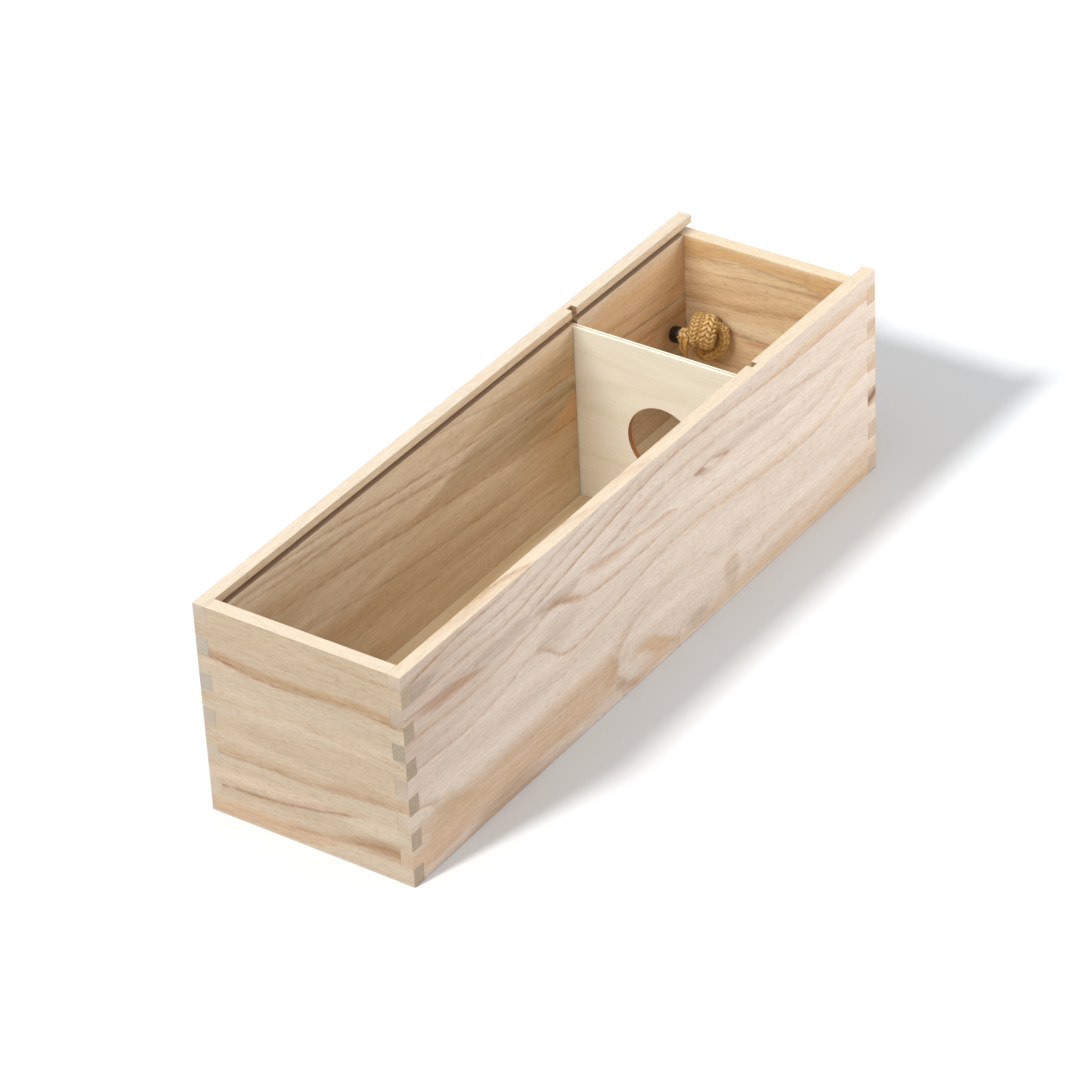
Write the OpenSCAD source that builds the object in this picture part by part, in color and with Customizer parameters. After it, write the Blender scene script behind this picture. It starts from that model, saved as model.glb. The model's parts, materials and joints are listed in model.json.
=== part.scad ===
// Wooden wine box, shown open. Four finger-jointed boards stand round a plywood floor let
// into grooves. A plywood divider with a round hole lifts out of two upright slots. A thin
// lid, which slides in grooves under the walls' top edge, is taken off and stands on its
// long edge beside the left wall. A rope handle hangs outside the far end panel, held by
// a knot inside the box at each end.
// Millimetres. +Y runs from the near end to the rope's end, +X to the right wall, +Z up.
// The origin is the bottom centre of the box and the stood lid taken together.

/* [Box] */
// Outside length
box_l = 348; // [320:1:400]
// Outside width
box_w = 99; // [92:1:130]
// Outside height
box_h = 100; // [92:1:130]
// Thickness of the two long walls
wall_t = 6; // [5:0.5:9]
// Thickness of the two end panels
end_t = 6.5; // [5:0.5:9]

/* [Corner joints] */
// Number of fingers below the lid's groove, the end panel's and the wall's counted together
finger_n = 11; // [5:2:15]

/* [Floor] */
// Thickness of the floor
floor_t = 3; // [2.5:0.1:5]
// Height of the floor's underside above the table
floor_up = 4; // [2:0.5:8]
// Depth of the groove round the floor
floor_groove_d = 2.8; // [1.5:0.1:3.5]
// Gap between the floor's edges and the groove's bottom
floor_play = 0.2; // [0.1:0.05:0.5]

/* [Lid] */
// Thickness of the lid
lid_t = 2.7; // [2:0.1:4]
// Height of the wall's lip over the lid's groove
lip_h = 3.7; // [2.5:0.1:6]
// Depth of the lid's groove
lid_groove_d = 2.8; // [1.5:0.1:3.5]
// Play of the lid in the groove's height, in all
lid_play = 0.3; // [0.2:0.05:0.6]
// Gap between each edge of the lid and the groove's bottom
lid_edge_play = 0.5; // [0.2:0.1:1]
// Gap between the left wall and the lid that stands beside it
lid_stand_gap = 0.3; // [0.2:0.1:5]

/* [Divider] */
// Thickness of the divider
divider_t = 2.7; // [2:0.1:4]
// Distance from the near end's outer face to the divider's front face
divider_y = 255.3; // [220:0.1:270]
// Depth of the upright slots that hold the divider
slot_d = 2.8; // [1.5:0.1:3.5]
// Gap between the divider's faces and the slot, on each side
slot_play = 0.4; // [0.2:0.1:1]
// Gap between the divider's upright edges and the slot's bottom
slot_edge_play = 0.4; // [0.2:0.1:1]
// Gap between the divider's top edge and the lid's groove
divider_top_gap = 1.4; // [0.5:0.1:6]
// Diameter of the divider's round hole
divider_hole_d = 35; // [30:0.5:45]
// Height of the hole's centre over the floor
divider_hole_z = 39.5; // [30:0.5:50]

/* [Rope handle] */
// Diameter of the rope
rope_d = 7.5; // [5:0.5:9]
// Gap round the rope in its holes
rope_hole_play = 0.5; // [0.3:0.1:1]
// Distance from each wall's inner face to the middle of its rope hole
rope_hole_side = 16.5; // [16:0.5:20]
// Height of the rope holes over the table
rope_hole_z = 52; // [50:1:60]
// Diameter of each knot
knot_d = 20; // [18:0.5:21]
// Depth of the flat where the knot presses on the panel
knot_seat = 0.5; // [0.2:0.1:1]
// Length of rope that shows between the knot and the tape
tail_l = 0.3; // [0.2:0.1:0.9]
// Distance from the knot's centre to the tail, towards the divider
tail_forward = 6; // [5:0.1:6.2]
// Height of the tail over the knot's centre
tail_up = 0.5; // [0:0.1:1]
// Length of the tape round each end of the rope
tape_l = 5.2; // [3:0.1:5.6]
// Thickness of the tape
tape_t = 0.2; // [0.1:0.05:0.4]

/* [Hidden] */

round_faces = 64;
cut = 1;
rope_sides = 10;

// The box's inside and its levels
inner_w = box_w - 2 * wall_t;
inner_l = box_l - 2 * end_t;
floor_top = floor_up + floor_t;
lid_groove_h = lid_t + lid_play;
lid_groove_z = box_h - lip_h - lid_groove_h;
finger_h = lid_groove_z / finger_n;

// The divider's place and size
divider_front = divider_y - box_l / 2;
slot_y = divider_front - slot_play;
slot_w = divider_t + 2 * slot_play;
divider_w = inner_w + 2 * (slot_d - slot_edge_play);
divider_h = lid_groove_z - divider_top_gap - floor_top;

// The lid's size, and its place beside the left wall
lid_w = inner_w + 2 * (lid_groove_d - lid_edge_play);
lid_l = end_t + inner_l + lid_groove_d - lid_edge_play;
lid_side = lid_stand_gap + lid_t;
box_x = lid_side / 2;

// The rope's holes and knots
rope_hole_r = rope_d / 2 + rope_hole_play;
rope_hole_gap = inner_w - 2 * rope_hole_side;
panel_in = box_l / 2 - end_t;
knot_y = panel_in - knot_d / 2 + knot_seat;
tail_y = knot_y - tail_forward;
tail_z = rope_hole_z + tail_up;
tail_end = knot_d / 2 + tail_l;

// Half the handle's route, from the mouth of a hole to the middle of the loop.
// Each point is [inward, outward, up] from the mouth, and the last lies half way across.
half_route = [[0, 0, 0], [0, 3, 0], [0, 10.5, -2], [0, 16, -7.5], [0, 18, -15],
              [0.5, 18, -22], [3.5, 17, -31], [12, 16, -40.5]];
loop_drop = [15.5, -44.5];

// Board of the given size, centred on the origin in plan, with its underside at z
module board(size, z = 0) {
    translate([-size[0] / 2, -size[1] / 2, z])
        cube(size);
}

// Corner blocks of every second finger, counted from the given one, up to the lid's groove
module finger_blocks(first) {
    for (k = [first : 2 : finger_n - 1])
        for (sx = [-1, 1])
            for (sy = [-1, 1])
                translate([sx * (box_w - wall_t) / 2, sy * (box_l - end_t) / 2, k * finger_h])
                    board([wall_t, end_t, finger_h]);
}

// Corner blocks over the last finger, which belong to the walls
module top_blocks() {
    for (sx = [-1, 1])
        for (sy = [-1, 1])
            translate([sx * (box_w - wall_t) / 2, sy * (box_l - end_t) / 2, lid_groove_z])
                board([wall_t, end_t, box_h - lid_groove_z]);
}

// Groove round the inside for the floor
module floor_groove() {
    board([inner_w + 2 * floor_groove_d, inner_l + 2 * floor_groove_d, floor_t], floor_up);
}

// Groove for the lid, open at the far end
module lid_groove() {
    translate([-inner_w / 2 - lid_groove_d, -inner_l / 2 - lid_groove_d, lid_groove_z])
        cube([inner_w + 2 * lid_groove_d, inner_l + lid_groove_d + end_t + cut, lid_groove_h]);
}

// Upright slots for the divider, cut through the lip
module divider_slots() {
    translate([-inner_w / 2 - slot_d, slot_y, floor_top])
        cube([inner_w + 2 * slot_d, slot_w, box_h - floor_top + cut]);
}

// One long wall: side -1 is the left wall, 1 the right
module wall(side) {
    difference() {
        translate([side * (box_w - wall_t) / 2, 0, 0])
            board([wall_t, box_l, box_h]);
        finger_blocks(0);
        floor_groove();
        lid_groove();
        divider_slots();
    }
}

// Blank of an end panel with the walls' fingers cut out of its corners
module end_blank(side, height) {
    difference() {
        translate([0, side * (box_l - end_t) / 2, 0])
            board([box_w, end_t, height]);
        finger_blocks(1);
        top_blocks();
        floor_groove();
    }
}

module left_wall() {
    color("burlywood")
        translate([box_x, 0, 0])
            wall(-1);
}

module right_wall() {
    color("burlywood")
        translate([box_x, 0, 0])
            wall(1);
}

module near_end_panel() {
    color("tan")
        translate([box_x, 0, 0])
            difference() {
                end_blank(-1, box_h);
                lid_groove();
            }
}

module far_end_panel() {
    color("tan")
        translate([box_x, 0, 0])
            difference() {
                end_blank(1, lid_groove_z);
                for (sx = [-1, 1])
                    translate([sx * rope_hole_gap / 2, box_l / 2 + cut, rope_hole_z])
                        rotate([90, 0, 0])
                            cylinder(r = rope_hole_r, h = end_t + 2 * cut, $fn = round_faces);
            }
}

module floor_panel() {
    edge = 2 * (floor_groove_d - floor_play);
    color("wheat")
        translate([box_x, 0, 0])
            board([inner_w + edge, inner_l + edge, floor_t], floor_up);
}

module divider() {
    color("cornsilk")
        translate([box_x, divider_front, floor_top])
            difference() {
                translate([-divider_w / 2, 0, 0])
                    cube([divider_w, divider_t, divider_h]);
                translate([0, divider_t + cut, divider_hole_z])
                    rotate([90, 0, 0])
                        cylinder(d = divider_hole_d, h = divider_t + 2 * cut, $fn = round_faces);
            }
}

module lid() {
    color("burlywood")
        translate([box_x - box_w / 2 - lid_side, box_l / 2 - lid_l, 0])
            cube([lid_t, lid_l, lid_w]);
}

// The handle's whole route through both holes, from knot to knot
function left_point(p) = [p[0] - rope_hole_gap / 2, p[1] + box_l / 2, p[2] + rope_hole_z];
function right_point(p) = [rope_hole_gap / 2 - p[0], p[1] + box_l / 2, p[2] + rope_hole_z];
half_points = concat([[0, -end_t, 0]], half_route);
last_half = len(half_points) - 1;
rope_route = concat(
    [for (p = half_points) left_point(p)],
    [left_point([rope_hole_gap / 2, loop_drop[0], loop_drop[1]])],
    [for (i = [last_half : -1 : 0]) right_point(half_points[i])]);

// Round tube swept along points: each ring's first spoke is the last one's, turned square
function unit(v) = v / norm(v);
function tangent(pts, i) = unit(pts[min(i + 1, len(pts) - 1)] - pts[max(i - 1, 0)]);
function square_to(v, t) = unit(v - (v * t) * t);
function spokes(pts, i, last) =
    i == len(pts) ? [] :
    let (s = square_to(last, tangent(pts, i)))
    concat([s], spokes(pts, i + 1, s));

module tube(pts, r, sides) {
    first_spokes = spokes(pts, 0, [1, 0, 0]);
    n = len(pts);
    rings = [for (i = [0 : n - 1])
        let (s = first_spokes[i], c = cross(tangent(pts, i), s))
        for (a = [0 : sides - 1])
            pts[i] + r * (cos(a * 360 / sides) * s + sin(a * 360 / sides) * c)];
    sides_faces = [for (i = [0 : n - 2], a = [0 : sides - 1], half = [0, 1])
        let (b = (a + 1) % sides, p = i * sides, q = p + sides)
        half == 0 ? [p + a, p + b, q + b] : [p + a, q + b, q + a]];
    end_faces = [for (a = [1 : sides - 2], far = [0, 1])
        let (p = far * (n - 1) * sides)
        far == 0 ? [p, p + a + 1, p + a] : [p, p + a, p + a + 1]];
    polyhedron(points = rings, faces = [for (f = concat(sides_faces, end_faces)) [f[0], f[2], f[1]]]);
}

module handle_rope() {
    color("goldenrod")
        translate([box_x, 0, 0])
            tube(rope_route, rope_d / 2, rope_sides);
}

// A knot pressed on the panel, with the rope's tail out of its side
module rope_knot(side) {
    translate([side * rope_hole_gap / 2, 0, 0]) {
        intersection() {
            translate([0, knot_y, rope_hole_z])
                sphere(d = knot_d, $fn = round_faces);
            translate([-knot_d, panel_in - 2 * knot_d, rope_hole_z - knot_d])
                cube(2 * knot_d);
        }
        translate([0, tail_y, tail_z])
            rotate([0, side * 90, 0])
                cylinder(d = rope_d, h = tail_end, $fn = round_faces);
    }
}

module end_tape(side) {
    translate([side * (rope_hole_gap / 2 + tail_end), tail_y, tail_z])
        rotate([0, side * 90, 0])
            cylinder(r = rope_d / 2 + tape_t, h = tape_l, $fn = round_faces);
}

module left_rope_knot() {
    color("goldenrod")
        translate([box_x, 0, 0])
            rope_knot(-1);
}

module right_rope_knot() {
    color("goldenrod")
        translate([box_x, 0, 0])
            rope_knot(1);
}

module left_end_tape() {
    color("black")
        translate([box_x, 0, 0])
            end_tape(-1);
}

module right_end_tape() {
    color("black")
        translate([box_x, 0, 0])
            end_tape(1);
}

near_end_panel();
far_end_panel();
left_wall();
right_wall();
floor_panel();
divider();
lid();
handle_rope();
left_rope_knot();
right_rope_knot();
left_end_tape();
right_end_tape();
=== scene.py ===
"""A wooden wine box, open, with its lift-out divider, its rope handle and its sliding lid stood
beside it. Metres; +Y runs to the rope's end, +X to the right wall, +Z up."""

import json
import math

import bpy
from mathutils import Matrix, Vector

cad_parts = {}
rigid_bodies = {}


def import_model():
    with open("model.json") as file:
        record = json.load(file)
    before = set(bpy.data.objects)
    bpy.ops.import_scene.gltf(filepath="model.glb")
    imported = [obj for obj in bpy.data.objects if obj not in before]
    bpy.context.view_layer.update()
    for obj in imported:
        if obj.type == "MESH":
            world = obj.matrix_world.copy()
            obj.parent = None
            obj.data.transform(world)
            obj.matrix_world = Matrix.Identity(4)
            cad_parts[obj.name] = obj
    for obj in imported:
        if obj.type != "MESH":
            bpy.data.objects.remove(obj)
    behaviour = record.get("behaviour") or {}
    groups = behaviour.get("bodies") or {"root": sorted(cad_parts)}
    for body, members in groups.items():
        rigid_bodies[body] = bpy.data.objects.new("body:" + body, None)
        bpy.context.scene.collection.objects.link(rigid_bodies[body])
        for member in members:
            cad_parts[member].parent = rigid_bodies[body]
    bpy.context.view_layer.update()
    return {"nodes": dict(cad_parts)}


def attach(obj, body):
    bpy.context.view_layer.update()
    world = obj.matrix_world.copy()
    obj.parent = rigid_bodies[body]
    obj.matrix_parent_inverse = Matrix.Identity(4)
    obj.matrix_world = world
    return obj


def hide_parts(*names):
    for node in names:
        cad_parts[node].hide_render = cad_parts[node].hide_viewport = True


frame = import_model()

# ---------------------------------------------------------------------------------------------
# The camera looks down on the box over its near right corner, through a long lens, so that the
# edges hardly run together. Its frame is square.


def put(name, data):
    """A new object with this data, in the scene and the only one selected."""
    bpy.ops.object.select_all(action="DESELECT")
    thing = bpy.data.objects.new(name, data)
    bpy.context.scene.collection.objects.link(thing)
    thing.select_set(True)
    bpy.context.view_layer.objects.active = thing
    return thing


view = bpy.data.cameras.new("over_near_right_corner")
view.lens = 158.84
view.sensor_width = 36
view.clip_start, view.clip_end = 0.05, 100
camera = put("over_near_right_corner", view)
camera.location = (0.95467, -1.3268, 1.13999)
camera.rotation_euler = [math.radians(turn) for turn in (56.1418, 2.5246, 34.2244)]
bpy.context.scene.camera = camera

# ---------------------------------------------------------------------------------------------
# The rope handle is one length of golden viscose cord, braided from sixteen flat strands over a
# core. It runs through two holes in the far end panel and hangs outside in a free U, and a knot
# inside the box stops each end.

box_middle = 0.0015
panel_inside, panel_outside = 0.1675, 0.174
hole_apart, hole_height = 0.054, 0.052
rope_width, line_step = 0.0075, 0.0007
half_route = [(0, -0.0065, 0), (0, 0, 0), (0, 0.003, 0), (0, 0.0105, -0.002),
              (0, 0.016, -0.0075), (0, 0.018, -0.015), (0.0005, 0.018, -0.022),
              (0.0035, 0.017, -0.031), (0.012, 0.016, -0.0405)]


def even_line(points, step):
    """A smooth line through the points, with a point at about every step along it."""
    points = [Vector(p) for p in points]
    ends = [2 * points[0] - points[1], *points, 2 * points[-1] - points[-2]]
    fine = []
    for a, b, c, d in zip(ends, ends[1:], ends[2:], ends[3:]):
        for k in range(30):
            t = k / 30
            fine.append((2 * b + (c - a) * t + (2 * a - 5 * b + 4 * c - d) * t ** 2
                         + (3 * b - a - 3 * c + d) * t ** 3) / 2)
    fine.append(points[-1])
    gone = [0.0]
    for p, q in zip(fine, fine[1:]):
        gone.append(gone[-1] + (q - p).length)
    count = max(2, round(gone[-1] / step))
    line, k = [], 0
    for n in range(count + 1):
        want = gone[-1] * n / count
        while k < len(fine) - 2 and gone[k + 1] < want:
            k += 1
        line.append(fine[k].lerp(fine[k + 1], (want - gone[k]) / (gone[k + 1] - gone[k])))
    return line


def headings(line):
    """The direction of a line of points at each of them."""
    return [(q - p).normalized() for p, q in zip([line[0], *line], [*line[1:], line[-1]])]


def tube_faces(first, rings, sides):
    """The faces of a tube, closed at both ends, whose rings of points start at the first one."""
    faces = []
    for k in range(rings - 1):
        for n in range(sides):
            a, b = first + k * sides + n, first + k * sides + (n + 1) % sides
            faces.append((a, b, b + sides, a + sides))
    faces.append(tuple(first + n for n in reversed(range(sides))))
    faces.append(tuple(first + (rings - 1) * sides + n for n in range(sides)))
    return faces


def braid(lines, strands=16, strand_lay=1.75):
    """Points, faces and strand map of braided rope along each line of (points, radius at each).
    Half of the strands wind left and half right, each over two and under two, so that the
    stitches stand in columns along the rope. The last strand is the core."""
    # Half widths and thicknesses, and a strand's place and rise, as shares of the rope's radius.
    strand_size, strand_out, strand_rise = (0.205, 0.12), 0.82, 0.075
    # The core lies below every strand in the braid's height, so it takes the full painted shade.
    core_size, core_shade_depth, maps_apart = (0.74, 0.74), -1.5, 3.7
    verts, faces, marks = [], [], []
    half = strands // 2
    for line, radii in lines:
        ahead = headings(line)
        spoke = ahead[0].orthogonal().normalized()
        spokes, gone = [], [0.0]
        for k, way in enumerate(ahead):
            spoke = (spoke - way * spoke.dot(way)).normalized()
            spokes.append(spoke)
            if k:
                gone.append(gone[-1] + (line[k] - line[k - 1]).length)
        for strand in range(strands + 1):
            hand = 1 if strand < half else -1
            middle = []
            for k, centre in enumerate(line):
                across = ahead[k].cross(spokes[k])
                lay = strand_lay * 2 * radii[k]
                turn = hand * 2 * math.pi * gone[k] / lay + 2 * math.pi * strand / half
                over = hand * math.cos(half / 2 * turn)
                out = spokes[k] * math.cos(turn) + across * math.sin(turn)
                place = centre + out * radii[k] * (strand_out + strand_rise * over)
                middle.append((place, out, radii[k], over))
            sides, (wide, thick) = 6, strand_size
            if strand == strands:
                middle = [(c, s, r, core_shade_depth) for c, s, r in zip(line, spokes, radii)]
                sides, (wide, thick) = 10, core_size
            faces += tube_faces(len(verts), len(middle), sides)
            ways = headings([place for place, *_ in middle])
            for k, (centre, out, radius, over) in enumerate(middle):
                flat = ways[k].cross(out).normalized()
                for n in range(sides):
                    turn = 2 * math.pi * n / sides
                    verts.append(centre + radius * (flat * wide * math.cos(turn)
                                                    + out * thick * math.sin(turn)))
                    marks.append((gone[k] * 1000, n / sides + strand * maps_apart, over))
    return verts, faces, marks


def rope_piece(name, verts, faces, marks, round_ends=False):
    """One object of rope, with each strand's map for its yarn and for its painted highlight and shade."""
    mesh = bpy.data.meshes.new(name)
    mesh.from_pydata(verts, [], faces)
    along = mesh.attributes.new("along_strand", "FLOAT_VECTOR", "POINT")
    along.data.foreach_set("vector", [x for mark in marks for x in mark])
    mesh.polygons.foreach_set("use_smooth", [round_ends or len(face) == 4 for face in faces])
    mesh.materials.append(golden)
    piece = put(name, mesh)
    bpy.ops.object.mode_set(mode="EDIT")
    bpy.ops.mesh.select_all(action="SELECT")
    bpy.ops.mesh.normals_make_consistent(inside=False)
    bpy.ops.object.mode_set(mode="OBJECT")
    return piece


def paint(code):
    """An sRGB hex colour as the linear colour that a shader takes."""
    parts = [int(code[k:k + 2], 16) / 255 for k in (1, 3, 5)]
    return [p / 12.92 if p < 0.04045 else ((p + 0.055) / 1.055) ** 2.4 for p in parts] + [1]


def add(material, kind, *values, stops=None, points=None, **settings):
    """A node with its settings; a value is a number, a colour, or the node or output to link."""
    node = material.node_tree.nodes.new("ShaderNode" + kind)
    for name, setting in settings.items():
        setattr(node, name, setting)
    if stops:
        ramp = node.color_ramp
        while len(ramp.elements) < len(stops):
            ramp.elements.new(0.5)
        for element, (place, colour) in zip(ramp.elements, stops):
            element.position = place
            element.color = colour if isinstance(colour, list) else [colour] * 3 + [1]
    if points:
        node.mapping.use_clip = False
        curve = node.mapping.curves[0]
        while len(curve.points) < len(points):
            curve.points.new(0.5, 0.5)
        for point, place in zip(curve.points, points):
            point.location = place
        node.mapping.update()
    for slot, value in enumerate(values):
        if isinstance(value, bpy.types.Node):
            value = value.outputs[0]
        if isinstance(value, bpy.types.NodeSocket):
            material.node_tree.links.new(value, node.inputs[slot])
        elif value is not None:
            node.inputs[slot].default_value = value
    return node


def surface(name, settings):
    """A material of this name whose surface has these settings."""
    material = bpy.data.materials.new(name)
    material.use_nodes = True
    for socket, setting in settings.items():
        material.node_tree.nodes["Principled BSDF"].inputs[socket].default_value = setting
    return material


def dress(material, colour=None, bump=None):
    """Link a colour and a bump to the material's surface."""
    shader = material.node_tree.nodes["Principled BSDF"]
    for node, socket in ((colour, "Base Color"), (bump, "Normal")):
        if node:
            material.node_tree.links.new(node.outputs[0], shader.inputs[socket])


# Viscose yarn, braided and silky. A painted highlight lies on each strand's top where it rolls over
# the next, and painted deep brown shade where it goes under, deepest on the core.
golden = surface("viscose_rope_braided", {"Roughness": 0.22, "Sheen Weight": 0.15, "Sheen Roughness": 0.4,
                                          "Sheen Tint": paint("#FFE9B8")})
strand_map = add(golden, "Attribute", attribute_name="along_strand")
yarn_place = add(golden, "Mapping", strand_map.outputs["Vector"], None, None, (0.35, 7, 0))
yarn = add(golden, "TexNoise", yarn_place, None, 3, 3, 0.6, noise_dimensions="3D")
yarn_tone = add(golden, "ValToRGB", yarn, stops=[(0.3, paint("#B8863C")), (0.52, paint("#D7A95A")),
                                                 (0.72, paint("#EECB86"))])
height_in_braid = add(golden, "SeparateXYZ", strand_map.outputs["Vector"])
# Painted shade: deep brown where a strand goes under its neighbours, and all over the core.
painted_dive_shade = add(golden, "MapRange", height_in_braid.outputs[2], -1.0, 0.5, 1, 0)
yarn_tone = add(golden, "MixRGB", painted_dive_shade, yarn_tone, paint("#8A5A24"))
# Painted highlight: a pale streak along each strand's top where it rolls over the next.
painted_crest_highlight = add(golden, "MapRange", height_in_braid.outputs[2], 0.5, 1, 0, 0.7)
yarn_tone = add(golden, "MixRGB", painted_crest_highlight, yarn_tone, paint("#FAE6B6"))
dress(golden, yarn_tone, add(golden, "Bump", 0.6, 0.0001, None, yarn))

left_half = [(x - hole_apart / 2 + box_middle, y + panel_outside, z + hole_height)
             for x, y, z in half_route]
right_half = [(2 * box_middle - x, y, z) for x, y, z in reversed(left_half)]
loop_bottom = [(box_middle, panel_outside + 0.0155, hole_height - 0.0445)]
handle_line = even_line(left_half + loop_bottom + right_half, line_step)
handle = rope_piece("braided_rope_handle", *braid([(handle_line, [rope_width / 2] * len(handle_line))]))
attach(handle, "box")
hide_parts("handle_rope")

# ---------------------------------------------------------------------------------------------
# Each end of the rope is tied in a stopper knot inside the box: two turns side by side round the
# rope's own end, and a slack loop under them that lies on the panel. The end sticks out of the
# knot's side towards the wall, where its braid has loosened and a few strands hang free.

knot_width, turn_radius = 0.006, 0.0051
first_turn, turns_apart = -0.0039, 0.0055
turns_middle = Vector((-0.0001, -0.0098, 0.002))
turns_along = Vector((0.86, 0.28, -0.12)).normalized()
turns_back = (Vector((0, 1, 0)) - turns_along * turns_along.y).normalized()
turns_up = turns_along.cross(turns_back)
slack_loop = [(0.0046, -0.0036, 0.0012), (0.0057, -0.0041, -0.0019), (0.0058, -0.0047, -0.0048),
              (0.0046, -0.0053, -0.0077), (0.0026, -0.0057, -0.0098), (-0.0001, -0.0061, -0.0117),
              (-0.0024, -0.0063, -0.0127), (-0.0043, -0.0064, -0.0125), (-0.0053, -0.0066, -0.0106),
              (-0.005, -0.0071, -0.0077), (-0.0039, -0.0079, -0.0042), (-0.0022, -0.0087, -0.0008),
              (0.0005, -0.0096, 0.0015)]
tail_line = [(0.005, -0.0095, 0.0032), (0.001, -0.0122, 0.003), (-0.0022, -0.0146, 0.0019),
             (-0.0048, -0.0155, 0.001), (-0.0084, -0.0155, 0.0003)]
loose_strands = [
    (0.0014, [(-0.0044, -0.0188, 0.002), (-0.0044, -0.0202, -0.0006), (-0.0045, -0.0198, -0.0034),
              (-0.0049, -0.0191, -0.0061), (-0.0052, -0.0185, -0.0088)]),
    (0.0006, [(-0.0071, -0.0187, -0.0004), (-0.0071, -0.0196, -0.0028), (-0.0063, -0.0198, -0.0044),
              (-0.005, -0.0195, -0.0058)]),
    (0.0002, [(-0.0026, -0.0186, -0.001), (-0.0021, -0.0188, -0.0035), (-0.0019, -0.018, -0.0062),
              (-0.0024, -0.0174, -0.0078)])]


def tie_knot(name, side):
    """The knot of one end: side -1 is the left one, and 1 its mirror image."""
    def at(p):
        return Vector((box_middle + side * (hole_apart / 2 - p[0]), panel_inside + p[1],
                       hole_height + p[2]))

    # The two turns lie side by side: midway, the winding passes over from the first to the second.
    turns, steps = [], 24
    for k in range(steps + 1):
        turn = 4 * math.pi * k / steps
        passed = min(1, max(0, (k / steps - 0.36) / 0.28))
        turns.append(turns_middle + turns_along * (first_turn + turns_apart * passed ** 2 * (3 - 2 * passed))
                     + (turn_radius - 0.0006 * passed)
                     * (turns_back * math.cos(turn) + turns_up * math.sin(turn)))
    mouth = [(0, 0.001, 0), (-0.003, -0.0022, 0.0004)]
    line = even_line([at(p) for p in [*mouth, *turns, *slack_loop]], line_step)
    tail = even_line([at(p) for p in tail_line], line_step)
    # The tail swells as its braid loosens, and the rope is thinner where the knot is tightest.
    swell = [knot_width / 2 + 0.0011 * min(1, 1.3 * k / len(tail)) for k in range(len(tail))]
    second_turn = [math.exp(-((k / len(line) - 0.46) / 0.13) ** 4) for k in range(len(line))]
    tightened = [knot_width / 2 + 0.0008 * fat - 0.0003 * min(1, max(0, 4 * k / len(line) - 2.4))
                 for k, fat in enumerate(second_turn)]
    knot = rope_piece(name, *braid([(line, tightened), (tail, swell)]))
    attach(knot, "box")

    # A loose strand is flat and ridged, and thins towards its tip.
    verts, faces, marks = [], [], []
    sides, strand_step, tip, flatness = 8, 0.0008, 0.00012, 0.45
    for half_width, points in loose_strands:
        line = even_line([at(p) for p in points], strand_step)
        faces += tube_faces(len(verts), len(line), sides)
        for k, (centre, way) in enumerate(zip(line, headings(line))):
            radius = max(tip, half_width * (1 - 0.5 * (k / len(line)) ** 3))
            flat = way.cross(Vector((0.3 * side, -1, 0.2))).normalized()
            out = flat.cross(way)
            for n in range(sides):
                turn = 2 * math.pi * n / sides
                ridge = 1 + 0.12 * math.cos(4 * turn + k)
                verts.append(centre + radius * ridge * (flat * math.cos(turn)
                                                        + flatness * out * math.sin(turn)))
                marks.append((k * strand_step * 1000, n / sides, 0.5))
    loose = rope_piece(name + "_loose_strands", verts, faces, marks, round_ends=True)
    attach(loose, "box")
    return knot, loose


left_knot, left_loose = tie_knot("left_stopper_knot", -1)
right_knot, right_loose = tie_knot("right_stopper_knot", 1)
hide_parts("left_rope_knot")
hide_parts("right_rope_knot")

# ---------------------------------------------------------------------------------------------
# Black PVC tape is wound tightly round each end of the rope, so that the braid doesn't come
# undone. It is softer than the rope's end, so its edges have drawn in and its end is dished.

# Soft black film: a broad dull shine, with slack ripples where it follows the strands under it.
black_tape = surface("pvc_tape_wound", {"Base Color": paint("#120F0C"), "Roughness": 0.34})
tape_place = add(black_tape, "TexCoord")
ripple_place = add(black_tape, "Mapping", tape_place.outputs["Object"], None, None, (220, 500, 500))
ripple = add(black_tape, "TexNoise", ripple_place, None, 1, 2, 0.5)
dress(black_tape, bump=add(black_tape, "Bump", 0.6, 0.0004, None, ripple))


def round_off(piece, width, segments, corner, smooth):
    """Round the active piece's edges that turn by more than corner, and shade the rest smooth."""
    rounding = piece.modifiers.new("rounded_edges", "BEVEL")
    rounding.width, rounding.segments, rounding.limit_method = width, segments, "ANGLE"
    rounding.angle_limit = math.radians(corner)
    bpy.ops.object.modifier_apply(modifier="rounded_edges")
    bpy.ops.object.shade_smooth_by_angle(angle=math.radians(smooth))


tape_long, tape_radius, tape_lean = 0.0056, 0.0041, 0.14
knot_to_tape, tape_from_panel = 0.0082, 0.0155
for side, node in ((-1, "left_end_tape"), (1, "right_end_tape")):
    inner = box_middle + side * (hole_apart / 2 + knot_to_tape)
    bpy.ops.object.select_all(action="DESELECT")
    bpy.ops.mesh.primitive_cylinder_add(
        vertices=40, radius=tape_radius, depth=tape_long, rotation=(0, math.pi / 2 + side * tape_lean, 0),
        location=(inner + side * tape_long / 2, panel_inside - tape_from_panel, hole_height + 0.0001))
    tape = bpy.context.object
    tape.name = "tape_on_" + ("left" if side < 0 else "right") + "_end"
    bpy.ops.object.transform_apply(location=True, rotation=True, scale=True)
    bpy.ops.object.mode_set(mode="EDIT")
    bpy.ops.mesh.select_all(action="DESELECT")
    bpy.ops.object.mode_set(mode="OBJECT")
    for face in tape.data.polygons:
        face.select = abs(face.normal.x) > 0.9
    bpy.ops.object.mode_set(mode="EDIT")
    bpy.ops.mesh.inset(thickness=0.0012, depth=0)
    bpy.ops.mesh.inset(thickness=0.0010, depth=-0.00035)
    bpy.ops.object.mode_set(mode="OBJECT")
    round_off(tape, 0.0009, 4, 50, 40)
    tape.data.materials.append(black_tape)
    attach(tape, "box")
    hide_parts(node)

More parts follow.
